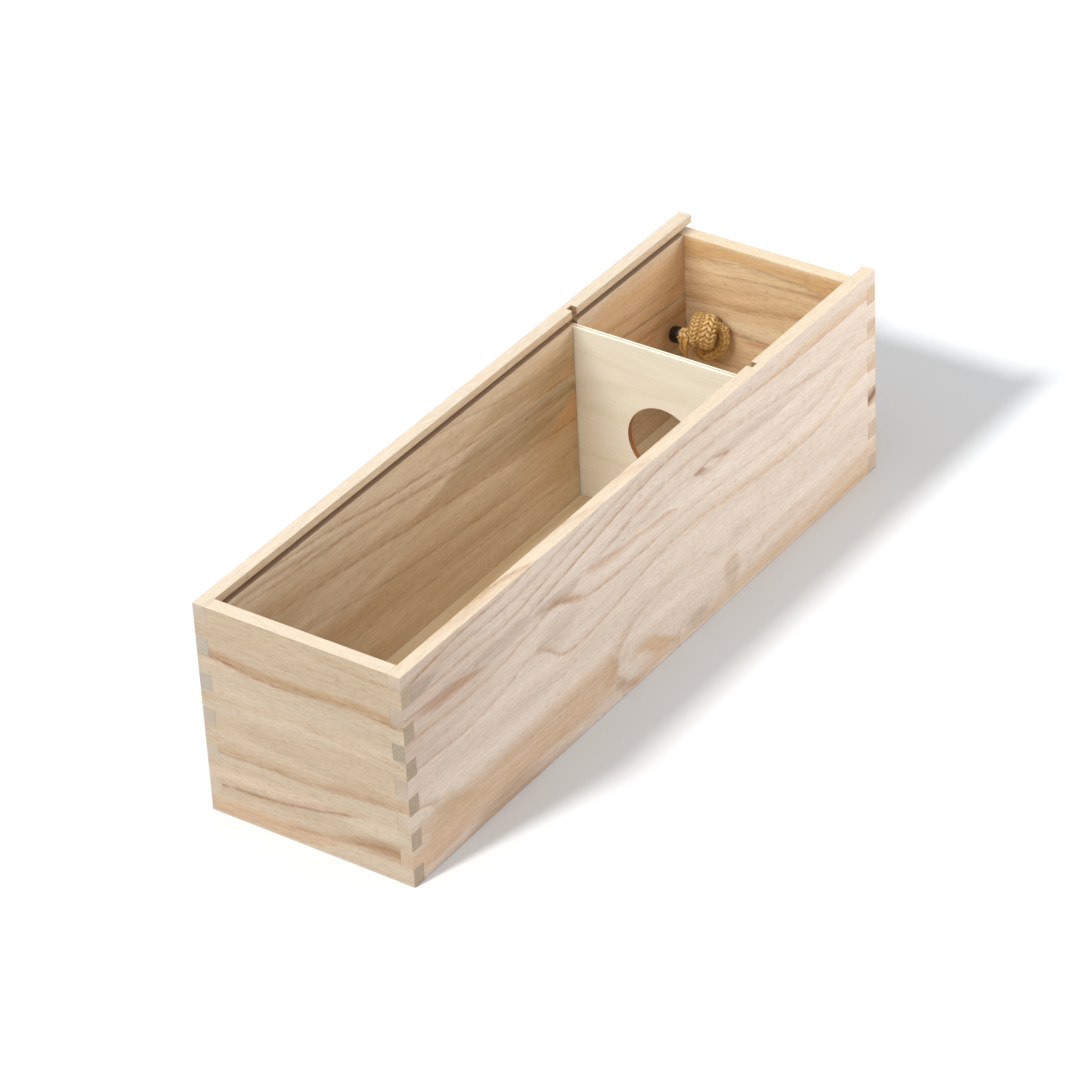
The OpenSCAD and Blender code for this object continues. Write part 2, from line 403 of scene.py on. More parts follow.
# ---------------------------------------------------------------------------------------------
# The right wall is one planed and sanded board of paulownia, six millimetres thick, finger-
# jointed and glued to the end panels. Grooves for the floor and the lid and a slot for the
# divider are sawn into its inner face.

wall_length, panel_length = 348, 99
# Each saw cut's middle and half width in millimetres, a hair wider than it is cut.
lid_groove, divider_slot = (94.8, 1.55), (82.65, 1.8)
wall_cut, wall_run, panel_cut, panel_run = (45, 1.42), (1.85, 172.1), (168.9, 1.38), (0, 46.2)


def eased_board(node, name, body, look, edge=0.00018):
    """A copy of a board's solid with its corners merged, its faces whole and its edges sanded."""
    board = put(name, frame["nodes"][node].data.copy())
    board.data.materials.clear()
    board.data.materials.append(look)
    bpy.ops.object.mode_set(mode="EDIT")
    bpy.ops.mesh.select_all(action="SELECT")
    bpy.ops.mesh.remove_doubles(threshold=0.000002)
    bpy.ops.mesh.dissolve_limited(angle_limit=math.radians(1))
    bpy.ops.object.mode_set(mode="OBJECT")
    round_off(board, edge, 2, 30, 20)
    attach(board, body)
    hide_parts(node)
    return board


def bare_wood(name, runs, through_from, ground, line, top, other_side, end_grain, end_cuts, lines=(),
              ovals=(), bands=(), patches=(), knots=(), lean=0.5, grooved=True, faint_end=1):
    """Bare sanded paulownia. Its growth lines run along the board at the places given in
    millimetres, (along, up), each with its width, its fade to one side and its depth. A band is
    the wood of one season between two of them, (along, low, high), and pales towards the board's
    other side; a few bands, and a few patches, are painted shade instead. An oval, with its middle
    and radii, is a growth line round a flat place that fades out between two places along the
    board; patches and knots are spots of colour. end_cuts says how open each finger's end grain
    is, (up, share), and faint_end how strong the lines still are at the far end."""
    wood = surface(name, {"Roughness": 0.62, "Specular IOR Level": 0.3})
    place = add(wood, "TexCoord")
    xyz = add(wood, "SeparateXYZ", place.outputs["Object"])
    facing = add(wood, "SeparateXYZ", place.outputs["Normal"])
    x = add(wood, "Math", xyz.outputs[0], 1000, -1000 * box_middle, operation="MULTIPLY_ADD")
    y = add(wood, "Math", xyz.outputs[1], 1000, operation="MULTIPLY")
    z = add(wood, "Math", xyz.outputs[2], 1000, operation="MULTIPLY")
    long, down, across = (wall_length, y, x) if runs == "Y" else (panel_length, x, y)
    along = add(wood, "Math", down, long / 2, operation="ADD")
    through = add(wood, "Math", across, -through_from, operation="ADD")
    up = add(wood, "Math", through, lean, z, operation="MULTIPLY_ADD")
    board = add(wood, "CombineXYZ", along, up, through)
    # The patterns' sizes are cycles per millimetre along, up and through the board.
    slow, ragged, pores, fibre, grit, dots = [
        add(wood, "TexNoise", add(wood, "Mapping", board, None, None, size), None, 1, detail, roughness)
        for size, detail, roughness in (
            ((0.012, 0.05, 0.05), 3, 0.55), ((0.16, 0.5, 0.5), 4, 0.65), ((0.24, 2.4, 2.4), 2, 0.55),
            ((0.1, 1.3, 1.3), 5, 0.85), ((0.75, 1.3, 1.3), 4, 0.7), ((0.4, 1.4, 1.4), 3, 0.7))]

    # The tree's slow waves, with which ovals, patches and knots wander by a few millimetres.
    wander = add(wood, "VectorMath", slow.outputs["Color"], (-0.5, -0.5, -0.5), operation="ADD")
    wander = add(wood, "VectorMath", wander, (16, 5, 0), operation="MULTIPLY")
    waved = add(wood, "VectorMath", board, wander, operation="ADD")

    def from_middle(middle, radii):
        """How far a point is from an oval's middle: 1 on the oval, and less inside it."""
        (a, b), (ra, rb) = middle, radii
        ring = add(wood, "Mapping", waved, (-a / ra, -b / rb, 0), None, (1 / ra, 1 / rb, 0))
        return add(wood, "VectorMath", ring, operation="LENGTH").outputs["Value"]

    # Growth lines: ragged by half a millimetre, broken here and there, and fainter to the far end.
    share = add(wood, "Math", along, 1 / long, operation="MULTIPLY")
    height = add(wood, "Math", up, 0.01, -0.0045, operation="MULTIPLY_ADD")
    height = add(wood, "Math", ragged, 0.009, height, operation="MULTIPLY_ADD")
    streak = add(wood, "TexNoise", add(wood, "Mapping", board, (5, 2, 0), (0, 0, 0.01), (0.025, 0.5, 0.5)),
                 None, 1, 5, 0.68)
    come_and_go = add(wood, "MapRange", slow, 0.35, 0.6, 0.45, 1)
    broken = add(wood, "Math", add(wood, "MapRange", ragged, 0.36, 0.6, 0.35, 1.05), come_and_go,
                 operation="MULTIPLY")
    fainter = add(wood, "MapRange", share, 0.45, 0.72, 1, faint_end)
    broken = add(wood, "Math", broken, fainter, operation="MULTIPLY")
    band_height = add(wood, "Math", height, add(wood, "MapRange", streak, 0, 1, -0.022, 0.022),
                      operation="ADD")

    def with_mark(span, core, fade, depth_here):
        """The growth lines so far and one more, with its core over span, mirrored if fade is below 0."""
        if fade < 0:
            core = [(1 - at, shade) for at, shade in reversed(core)]
        mark = add(wood, "ValToRGB", span, stops=core)
        mark.color_ramp.interpolation = "EASE"
        mark = add(wood, "Math", mark, depth_here, operation="MULTIPLY")
        return add(wood, "Math", marks, mark, operation="MAXIMUM") if marks else mark

    marks = None
    for points, width, fade, depth, *reach in lines:
        middle = add(wood, "FloatCurve", 1, share, points=[(a / long, b / 100) for a, b in points])
        off = add(wood, "Math", height, middle, operation="SUBTRACT")
        span = add(wood, "MapRange", off, -0.12, 0.12, 0, 1)
        core = [(0.5 - width / 18, 0), (0.5, 1), (0.5 + width / 16, 0.34),
                (0.5 + (width + abs(fade)) / 20, 0)]
        depth_here = add(wood, "Math", broken, depth, operation="MULTIPLY")
        if reach:
            start, stop = reach
            rise = long * 0.035
            ends = add(wood, "ValToRGB", share, stops=[((start - rise) / long, 0), ((start + rise) / long, 1),
                                                      ((stop - rise) / long, 1), ((stop + rise) / long, 0)])
            depth_here = add(wood, "Math", depth_here, ends, operation="MULTIPLY")
        marks = with_mark(span, core, fade, depth_here)
    for middle, radii, width, fade, depth, start, stop in ovals:
        reach = 12 / radii[1]
        span = add(wood, "MapRange", from_middle(middle, radii), 1 - reach, 1 + reach, 0, 1)
        core = [(0.5 - width / 24, 0), (0.5, 1), (0.5 + width / 24, 0.35),
                (0.5 + (width + abs(fade)) / 24, 0)]
        depth_here = add(wood, "Math", broken, add(wood, "MapRange", along, start, stop, depth, 0),
                         operation="MULTIPLY")
        marks = with_mark(span, core, fade, depth_here)

    # Ground colour: long flames of slightly lighter and darker wood, then each patch and band.
    flames = add(wood, "TexNoise", add(wood, "Mapping", board, (3, 7, 0), (0, 0, 0.02), (0.012, 0.11, 0.11)),
                 None, 1, 5, 0.62)
    colour = add(wood, "ValToRGB", flames, stops=[(0.33, paint(ground[0])), (0.5, paint(ground[1])),
                                                  (0.67, paint(ground[2]))])
    for middle, radii, tone, depth in patches:
        soft = add(wood, "MapRange", from_middle(middle, radii), 0.3, 1.1, depth, 0,
                   interpolation_type="SMOOTHSTEP")
        soft = add(wood, "Math", soft, add(wood, "MapRange", streak, 0.35, 0.6, 0.45, 1.1),
                   operation="MULTIPLY")
        colour = add(wood, "MixRGB", soft, colour, paint(tone))
    for points, tone, depth, soft_low, soft_high in bands:
        low = add(wood, "FloatCurve", 1, share, points=[(a / long, b / 100) for a, b, _ in points])
        high = add(wood, "FloatCurve", 1, share, points=[(a / long, c / 100) for a, _, c in points])
        over = add(wood, "MapRange", add(wood, "Math", band_height, low, operation="SUBTRACT"),
                   0, soft_low / 100, 0, depth)
        under = add(wood, "MapRange", add(wood, "Math", high, band_height, operation="SUBTRACT"),
                    0, soft_high / 100, 0, 1)
        inside = add(wood, "Math", over, under, operation="MULTIPLY")
        inside = add(wood, "Math", inside, add(wood, "MapRange", streak, 0.3, 0.58, 0.55, 1.05),
                     operation="MULTIPLY")
        colour = add(wood, "MixRGB", inside, colour, paint(tone))
    # These are the colours of one side, and they give way to the other side's through the board.
    deep = add(wood, "MapRange", add(wood, "Math", through, operation="ABSOLUTE"), 1, 5.5, 0, 0.7)
    colour = add(wood, "MixRGB", deep, colour, paint(other_side))
    # The upper edges are planed last, and are a little paler and more even.
    level = add(wood, "MapRange", facing.outputs[2], 0.6, 0.8, 0, 0.85)
    colour = add(wood, "MixRGB", level, colour, paint(top))
    if marks:
        colour = add(wood, "MixRGB", marks, colour, paint(line))

    # Fibre half a millimetre to one across, and open pores as short brown dashes that crowd in the
    # growth lines and the darker wood. Both are drawn coarser than they are, to show.
    dash = add(wood, "MapRange", pores, 0.54, 0.7, 0, 1)
    crowd = add(wood, "MapRange", streak, 0.42, 0.62, 0.18, 0.5)
    if marks:
        crowd = add(wood, "Math", marks, 0.5, crowd, operation="MULTIPLY_ADD")
    crowd = add(wood, "Math", crowd, add(wood, "MapRange", level, 0, 0.85, 1, 0.35),
                operation="MULTIPLY")
    pored = add(wood, "Math", dash, crowd, operation="MULTIPLY")
    colour = add(wood, "MixRGB", pored, colour, paint(line))
    fibre_tone = add(wood, "MapRange", fibre, 0.32, 0.68, 0.87, 1.12)
    grit_tone = add(wood, "MapRange", grit, 0.3, 0.7, 0.94, 1.06)
    tone = add(wood, "Math", fibre_tone, grit_tone, operation="MULTIPLY")
    colour = add(wood, "MixRGB", 1, colour, add(wood, "CombineXYZ", tone, tone, tone),
                 blend_type="MULTIPLY")

    # End grain: greyer, because the cut pores drink light, with open pores as fine dots. Each
    # finger was sanded a little differently.
    end_tone = add(wood, "ValToRGB", dots, stops=[(0.32, paint(end_grain[0])), (0.6, paint(end_grain[1]))])
    across_cut = add(wood, "Math", facing.outputs[1 if runs == "Y" else 0], operation="ABSOLUTE")
    how_open = add(wood, "FloatCurve", 1, add(wood, "Math", z, 0.01, operation="MULTIPLY"),
                   points=[(at / 100, opened) for at, opened in end_cuts])
    cut_share = add(wood, "Math", add(wood, "MapRange", across_cut, 0.6, 0.8, 0, 1), how_open,
                    operation="MULTIPLY")
    colour = add(wood, "MixRGB", cut_share, colour, end_tone)
    for middle, radii, tone, depth in knots:
        soft = add(wood, "MapRange", from_middle(middle, radii), 0.55, 1.05, depth, 0,
                   interpolation_type="SMOOTHSTEP")
        colour = add(wood, "MixRGB", soft, colour, paint(tone))

    if grooved:
        # The grooves' sides are painted brown: partly the saw's scorch, partly painted shade in the cut.
        in_height = add(wood, "Math", z, *lid_groove, operation="COMPARE")
        if runs == "Y":
            in_slot = add(wood, "Math", y, *divider_slot, operation="COMPARE")
            in_height = add(wood, "Math", in_height, in_slot, operation="MAXIMUM")
        cut, run = (wall_cut, wall_run) if runs == "Y" else (panel_cut, panel_run)
        side = add(wood, "Math", across, operation="ABSOLUTE")
        in_depth = add(wood, "Math", side, *cut, operation="COMPARE")
        in_length = add(wood, "Math", down, *run, operation="COMPARE")
        in_depth = add(wood, "Math", in_depth, in_length, operation="MULTIPLY")
        sawn_and_shaded = add(wood, "Math", in_height, in_depth, operation="MULTIPLY")
        sawn_and_shaded = add(wood, "Math", sawn_and_shaded, 0.75, operation="MULTIPLY")
        colour = add(wood, "MixRGB", sawn_and_shaded, colour, paint("#8E6844"))

    relief = add(wood, "Math", dash, -0.3, fibre, operation="MULTIPLY_ADD")
    dress(wood, colour, add(wood, "Bump", 0.35, 0.00006, None, relief))
    return wood


right_wall_wood = bare_wood(
    "paulownia_sanded_right_wall", "Y", 49.5, ("#DCCAB9", "#E3D2C2", "#E8D9CB"), "#A8733F", "#DCCBB2",
    "#D9C5A9", ("#95856F", "#B7A896"),
    [(0, 0.3), (13, 0.3), (30, 0.35), (47, 0.6), (64, 1), (81, 0.6), (97, 0.2)], faint_end=0.6,
    lines=[
        ([(0, 92), (7, 93.5), (20, 95), (40, 97), (60, 97.5), (75, 98), (90, 100), (348, 140)],
         0.8, 2, 0.75, -20, 92),
        ([(0, 91), (30, 91.5), (60, 91), (85, 92), (110, 96), (140, 100), (348, 140)], 0.7, 2, 0.6, 24, 140),
        ([(0, 83), (20, 84.5), (45, 84.6), (60, 83.3), (75, 84), (105, 89), (130, 93), (165, 98),
          (348, 130)], 0.7, 2, 0.6, 12, 175),
        ([(0, 76), (85, 79), (105, 82), (130, 86.2), (160, 91.3), (190, 94.2), (235, 92), (285, 89.3),
          (348, 89)], 0.8, 3, 0.75, 84, 360),
        ([(0, 70), (135, 77.5), (165, 82.3), (195, 84.8), (220, 83.8), (250, 80), (280, 76.5),
          (310, 72.5), (348, 68.5)], 1.3, 2.5, 0.5, 135, 360),
        ([(0, 60), (163, 75), (185, 77.8), (207, 76.2), (232, 73.4), (250, 72), (275, 71), (348, 69)],
         1.1, 3, 0.4, 168, 275),
        ([(0, 68.5), (15, 67), (45, 65.5), (65, 66.5), (85, 70), (102, 72.5), (115, 67.5), (128, 63.5), (160, 62),
          (210, 62), (250, 58.7), (280, 57.3), (300, 58.5), (325, 66.5), (348, 78)], 1.0, 2.5, 0.5, -20, 325),
        ([(0, 53), (20, 52), (45, 51.3), (65, 53.8), (88, 58), (96, 54.5), (108, 46), (120, 44.8), (140, 47),
          (175, 53), (200, 54), (235, 51), (270, 46.3), (300, 46.3), (330, 52.5), (348, 53)], 1.0, 3, 0.5, 0, 360),
        ([(0, 53), (65, 53.8), (88, 58), (96, 54.5), (108, 46), (120, 44.8), (348, 60)], 1.6, 3, 0.55, 84, 114),
        ([(0, 60), (85, 69.5), (102, 72.5), (115, 67.5), (128, 63.5), (348, 60)], 2.0, 3, 0.55, 88, 126),
        ([(0, 4), (236, 5), (245, 11), (258, 16.5), (280, 17.6), (300, 17), (320, 19), (348, 23)],
         1.6, -4, 0.35, 240, 360),
        ([(0, 36), (8, 34.3), (14, 31.8), (22, 29.5), (348, 10)], 1.2, 2.5, 0.6, -20, 20),
        ([(0, 79), (35, 78), (60, 79.6), (80, 79.4), (90, 78), (348, 78)], 0.6, -1.5, 0.35, -20, 84),
        ([(0, 74), (200, 74.1), (212, 73.4), (232, 72.6), (348, 71)], 0.6, 1, 0.45, 190, 248),
    ],
    ovals=[
        ((184, 17), (42.5, 19.5), 2.6, 3, 0.55, 138, 205),
        ((184, 17), (42.5, 19.5), 1.6, 3, 0.22, 0, 600),
        ((184, 15), (37, 16), 0.9, 1.5, 0.18, 150, 240),
        ((202, 3), (15, 9.5), 1.2, 1.5, 0.5, 183, 216),
        ((216.5, 75.3), (10.5, 2.6), 0.7, 0.6, 1.3, 0, 1200),
    ],
    bands=[
        ([(0, 84, 95), (10, 84, 94), (20, 86, 91.5), (27, 88.5, 90)], "#AE9B8A", 0.7, 1.5, 3),
        ([(0, 77, 79.5), (8, 75.5, 79.2), (20, 72, 78.8), (35, 70.5, 78), (44, 70, 76), (54, 70, 73.5),
          (60, 70.5, 70.6)], "#B88E6E", 0.75, 4, 1.2),
        ([(42, 74, 75.5), (52, 71, 79.5), (65, 69.5, 80), (80, 71, 79.8), (87, 74, 78.5), (91, 76.5, 77)],
         "#C4B1A1", 0.65, 5, 1.2),
        ([(87, 75, 76), (92, 72.5, 78), (100, 71, 78), (108, 69, 77.6), (114, 69.5, 77), (120, 72.5, 76),
          (124, 74.5, 75)], "#BFAC9A", 0.6, 3, 1.2),
        ([(92, 72.5, 73.5), (100, 71.5, 75.5), (110, 68.5, 73.5), (118, 66, 69.5)], "#B0875A", 0.5, 1.2, 3),
        ([(110, 76.8, 77.4), (120, 74.5, 77.5), (130, 71, 76.5), (140, 68.5, 75.2), (150, 67.5, 73.6),
          (162, 67.2, 72.2), (172, 66.5, 71.6), (184, 65.8, 70.8), (194, 65.5, 66.3)],
         "#CCA88D", 0.7, 3.5, 1),
        ([(88, 56, 58), (96, 53, 67), (108, 53, 68), (118, 56, 66), (128, 60, 62)], "#C6B3A2", 0.6, 6, 5),
        ([(0, 0, 31), (14, 0, 30), (26, 1, 29), (36, 3, 29), (50, 3, 29), (75, 3, 29.5), (100, 3, 30),
          (125, 3, 30.5), (138, 5, 30), (143, 12, 24), (146, 17, 17.2)], "#D2AF8B", 0.76, 5, 8),
        ([(0, 14.5, 22), (5, 14, 22), (10, 15, 20.5), (14, 17.5, 17.7)], "#DDCBBA", 0.7, 0.8, 0.8),
        ([(10, 0, 2), (35, 0, 5), (55, 0, 11), (70, 0, 11), (90, 0, 7), (110, 0, 4.5), (124, 0, 0.5)],
         "#B48F6C", 0.7, 0.3, 7),
        ([(0, 34.8, 37), (8, 33, 36.2), (14, 29.5, 34), (17, 24, 33), (20, 21, 32), (27, 19, 31), (35, 18, 27),
          (46, 18, 21)], "#C8A681", 0.45, 2.5, 5),
        ([(0, 12.5, 15.5), (8, 14, 18.5), (14, 15, 21), (17, 15, 24), (20, 15, 26), (30, 13, 26), (46, 12, 20)],
         "#CBAC89", 0.4, 3, 3),
        ([(141, 4, 8), (145, 3.5, 12), (150, 2.5, 8), (156, 2.5, 4)], "#B9967A", 0.4, 2.5, 3),
        ([(153, 14, 17), (161, 12, 20), (168, 8, 19.5), (175, 4, 16), (184, 3, 10), (192, 3, 5)],
         "#D0A97C", 0.7, 4, 3),
        ([(148, 1.5, 3), (158, 1, 8), (170, 1, 10), (185, 1, 6.5), (215, 1, 8), (240, 1, 9.5),
          (260, 1, 10.5), (290, 1, 12), (310, 1, 14), (348, 0, 17)], "#D9B893", 0.6, 0.5, 4.5),
        ([(240, 0, 3), (300, 0, 5), (348, 0, 7)], "#C89C6C", 0.4, 0.3, 4),
        ([(165, 50.5, 53.5), (200, 50.5, 55.5), (220, 49.5, 55), (240, 47.5, 54), (260, 46, 53), (280, 45, 52.5),
          (300, 45, 51.5), (312, 46.5, 52), (325, 49.5, 57), (340, 51.5, 61), (348, 51.5, 62)],
         "#DFC6AA", 0.6, 1.2, 4),
        ([(240, 89.5, 90), (262, 89.3, 93.5), (285, 89, 96), (310, 88.5, 95.5), (340, 88, 95), (348, 88, 95)],
         "#DDBB93", 0.6, 1, 5),
        ([(225, 73, 76), (235, 73, 78), (250, 72, 78), (270, 71, 76), (292, 71, 72)], "#CBB9A9", 0.55, 1.5, 3),
        ([(203.5, 75.5, 76.8), (207, 73.9, 77.8), (210, 73.6, 77.6), (213, 73.4, 75.5), (217, 73.4, 74)],
         "#A3785A", 0.7, 1, 1.4),
        ([(217, 76.8, 77.6), (222, 74.2, 77.4), (226, 72.8, 76.2), (231, 72.3, 74.2), (238, 72, 72.5)],
         "#AB8265", 0.65, 1.2, 1.4),
    ],
    patches=[
        # The first patch is painted shade, darkening the near upper part of the wall.
        ((0, 80), (78, 48), "#CBB4A2", 0.75),
        ((231, 14), (8, 13), "#CDB39A", 0.75),
        ((234, 33), (9, 10), "#D9C8B8", 0.5),
        ((203, 7), (12, 6), "#BBA794", 0.65),
        ((215, 24), (12, 9), "#E0CDB9", 0.5),
        ((65, 40), (45, 9), "#D8C7B8", 0.35),
        ((258, 38), (12, 5), "#DCC8B6", 0.5),
    ])
right_wall = eased_board("right_wall", "right_paulownia_wall", "box", right_wall_wood)

# ---------------------------------------------------------------------------------------------
# The left wall mirrors the right one: the same joints, grooves and slot. Its inner face shows,
# where the growth lines run steadily down towards the far end.

left_wall_wood = bare_wood(
    "paulownia_sanded_left_wall", "Y", -43.5, ("#CDB595", "#D8C3A7", "#E2CFB4"), "#946437", "#DCCDB7",
    "#DDCAB2", ("#A59C8E", "#BFB6A8"),
    [(0, 0.3), (13, 0.35), (30, 0.5), (47, 0.65), (64, 0.9), (81, 0.8), (97, 0.5)], lean=-0.4,
    lines=[
        ([(0, 98), (60, 91), (90, 87.5), (105, 84.5), (125, 81.5), (150, 79), (348, 62)], 0.9, 3, 0.6, -20, 150),
        ([(0, 98), (125, 81.5), (150, 79), (175, 76), (200, 74), (230, 71.5), (252, 69.5), (292, 66.8), (310, 65.3),
          (335, 63.3), (348, 62)], 0.55, 0.8, 0.8, 165, 360),
        ([(0, 89), (60, 83), (100, 79.5), (130, 75.5), (160, 71), (190, 67.5), (220, 65.5), (252, 63), (348, 55)],
         1.2, 3, 0.55),
        ([(0, 99), (120, 96), (150, 93), (180, 89), (200, 85), (230, 81), (252, 78.5), (280, 75.5), (300, 73.5),
          (348, 70)], 0.8, 2.5, 0.4, 130, 360),
        ([(0, 76), (60, 69), (100, 64.5), (130, 60.5), (170, 56), (230, 49), (348, 40)], 1.2, 3, 0.5),
        ([(0, 60), (60, 52), (130, 42), (200, 36), (348, 28)], 0.9, 3, 0.45),
        ([(0, 38), (90, 30), (180, 24), (348, 14)], 1.0, 4, 0.45),
    ],
    bands=[
        ([(50, 83.5, 91), (90, 80.5, 86.5), (105, 79.5, 84), (125, 76.5, 81), (150, 73, 78.5), (180, 69.5, 75.5),
          (210, 67, 72.5), (250, 64.5, 69)], "#E4D3BB", 0.6, 1.5, 0.8),
        ([(0, 90, 93), (40, 87, 92), (60, 84.5, 89.5), (80, 84, 87)], "#A78763", 0.7, 2, 3),
        ([(0, 76, 86), (60, 69.5, 78), (100, 65, 72), (130, 61, 68), (160, 58, 64), (200, 54, 58)],
         "#C4A27C", 0.55, 2, 6),
        ([(0, 40, 58), (90, 31, 46), (200, 24, 35), (348, 15, 27)], "#BE9C78", 0.5, 3, 8),
        # The next two bands are painted shade, darkening the middle of the wall before the divider.
        ([(110, 58, 60), (150, 58, 66), (180, 55, 74.5), (200, 51, 75), (225, 48, 72), (248, 45, 70),
          (262, 50, 52)], "#A58A66", 0.6, 8, 2.5),
        ([(160, 77, 78), (185, 76, 84), (200, 74.5, 87), (225, 72, 86), (248, 70, 83), (272, 69, 71)],
         "#AC8C63", 0.65, 2, 6),
        ([(225, 71, 74), (252, 70, 79), (280, 67.5, 93), (310, 65.5, 93), (348, 62.5, 93)], "#D4A979", 0.75, 1, 7),
        ([(235, 45, 50), (252, 42, 60), (285, 40, 66), (310, 40, 65), (348, 38, 61.5)], "#D6A772", 0.8, 8, 1.5),
    ],
    # This patch by the divider is painted shade, darker and more golden there.
    patches=[((245, 60), (40, 55), "#C09A66", 0.6)])
left_wall = eased_board("left_wall", "left_paulownia_wall", "box", left_wall_wood)

# ---------------------------------------------------------------------------------------------
# The near end panel is the same planed board cut across the box, with its own fingers between
# the walls' and a stopped groove inside for the lid's end.

near_panel_wood = bare_wood(
    "paulownia_sanded_near_panel", "X", -174, ("#C4AF94", "#CDBAA1", "#D4C3AD"), "#98673A", "#DDCEB8",
    "#D3BFA2", ("#A08D78", "#B8A590"), [(0, 0.85), (23, 0.85), (40, 0.95), (57, 1), (74, 0.8), (91, 0.6)], lean=0.4,
    lines=[
        ([(0, 77.4), (6, 77.2), (15, 76.2), (25, 74.8), (37, 74.2), (50, 74.8), (62, 75.8), (75, 76.8), (90, 76),
          (99, 75.5)], 1.3, 3, 0.95),
        ([(0, 13.5), (10, 14.9), (25, 15.8), (40, 17.3), (52, 19.6), (64, 22.3), (76, 25), (99, 27)],
         1.0, 3, 0.8, -20, 74),
        ([(0, 3), (20, 5), (45, 7.3), (58, 8.8), (68, 10), (78, 12.4), (86, 13.6), (99, 12.5)],
         1.2, 3, 0.6, 40, 100),
        ([(0, 30), (30, 31.4), (45, 31.5), (60, 31.7), (75, 33.6), (90, 35), (99, 36)], 0.8, 2.5, 0.5),
        ([(0, 60), (40, 59), (75, 57.5), (99, 56)], 0.6, 1.5, 0.35, 50, 99),
        ([(0, 96), (70, 94), (99, 93.2)], 0.7, 2, 0.45, 60, 99),
    ],
    bands=[
        ([(0, 78, 82), (15, 76.5, 82), (30, 75, 80.5), (50, 75, 80.5), (70, 76.5, 82), (99, 76, 80.5)],
         "#BD9C74", 0.7, 1, 3),
        ([(0, 30.5, 38), (20, 31, 40), (40, 31, 39.5), (55, 31.5, 39), (68, 32.5, 41), (85, 34, 42), (99, 35, 42)],
         "#CBB091", 0.75, 1, 5),
        ([(30, 31.5, 32), (35, 31.5, 34.5), (41, 31.7, 32.5)], "#BD9770", 0.6, 0.8, 1.5),
        ([(57, 32.5, 33.5), (64, 32.5, 38), (70, 33, 38.5), (77, 34, 35)], "#BD9E80", 0.7, 1.8, 3),
        ([(75, 34, 34.5), (80, 33.5, 38), (86, 34.5, 38), (93, 36, 36.3)], "#BA9676", 0.65, 1.5, 2.5),
        ([(0, 15, 25), (15, 15.5, 26.5), (35, 17, 26), (50, 19.5, 26.5), (65, 22.5, 27), (78, 25.5, 26)],
         "#E0C9B0", 0.7, 0.6, 7),
        ([(0, 0, 9), (20, 0, 11), (40, 0.5, 11), (52, 2, 11), (60, 5, 11), (68, 8, 11)], "#CEAC8C", 0.8, 0.5, 5),
        ([(50, 6, 10), (60, 7.5, 12), (68, 8.5, 14.5), (76, 8.5, 17), (84, 8.5, 18.5), (90, 9, 18.5), (97, 9, 16)],
         "#B28A67", 0.8, 3.5, 5.5),
        ([(0, 40, 52), (30, 41, 56), (60, 42, 59), (99, 43, 54)], "#C8B092", 0.45, 5, 8),
        ([(0, 0, 1.2), (50, 0, 1.4), (99, 0, 1.2)], "#E2D2BC", 0.6, 0.2, 0.6),
    ],
    patches=[
        ((50, 94), (75, 20), "#C5B092", 0.8),
        ((40, 67), (50, 7), "#D7C5B0", 0.6),
        ((80, 21), (20, 5), "#DCCBB4", 0.6),
    ])
near_panel = eased_board("near_end_panel", "near_paulownia_panel", "box", near_panel_wood)

# ---------------------------------------------------------------------------------------------
# The far end panel is lower than the walls by the lid and its lip, so that the lid slides in
# over it. Two holes are drilled through it for the rope.

# Its inner face's ground is the wood's tone with painted warm bounce light in it, more orange than its outer side.
far_panel_wood = bare_wood(
    "paulownia_sanded_far_panel", "X", 167.5, ("#EACA9E", "#F1D6AD", "#F6E2C0"), "#9C6436", "#DCCCB2",
    "#D8C4A9", ("#B8A38F", "#CFBCA9"), [(0, 1), (20, 0.8), (50, 0.6), (100, 0.6)], lean=-0.4, grooved=False,
    lines=[
        ([(0, 82), (15, 84), (25, 85), (38, 86.3), (55, 86), (77, 83.5), (99, 82)], 0.8, -1.5, 0.55),
        ([(0, 76), (20, 78.5), (45, 80), (60, 81), (77, 82.3), (99, 83.5)], 0.8, -2, 0.45, 30, 110),
        ([(0, 67), (10, 70), (30, 72), (60, 76), (99, 78)], 0.6, -3, 0.3),
        ([(0, 60), (20, 62), (35, 63), (48, 64.5), (60, 66.5), (75, 69), (99, 71)], 0.9, 3, 0.5),
        ([(0, 53), (28, 51.2), (38, 50.2), (48, 50.2), (70, 52), (99, 55)], 1.0, 2, 0.75, 22, 110),
        ([(0, 36), (30, 33), (60, 34), (99, 38)], 1.0, 3, 0.45),
        ([(0, 18), (40, 15), (99, 19)], 1.0, 3, 0.45),
    ],
    bands=[
        ([(0, 82, 93), (15, 84.3, 93.3), (38, 86.5, 93.3), (55, 86.3, 93.3), (77, 84, 93.3), (99, 82.5, 93.3)],
         "#E0B47A", 0.75, 0.6, 2),
        ([(0, 74, 77), (30, 76.5, 79.5), (45, 78.5, 81), (60, 79.5, 82.5), (77, 79.5, 83), (99, 80, 84)],
         "#CDA073", 0.7, 3, 0.8),
        ([(0, 61, 66.5), (20, 62.3, 67.5), (35, 63.3, 67.8), (45, 64.8, 69), (60, 66.8, 71.5), (99, 71, 76)],
         "#CFA376", 0.75, 0.8, 4),
        ([(25, 48.5, 51), (38, 46.5, 50.5), (50, 46, 50.5), (75, 47, 52), (99, 50, 55)], "#CF9A76", 0.7, 2, 1),
        ([(0, 30, 48), (50, 32, 44), (99, 34, 46)], "#DDB48C", 0.6, 3, 4),
    ],
    knots=[((97.5, 37.5), (5, 5), "#B08F74", 0.6), ((98.5, 36.8), (2.8, 2.4), "#7A543B", 0.7)])
far_panel = eased_board("far_end_panel", "far_paulownia_panel", "box", far_panel_wood)

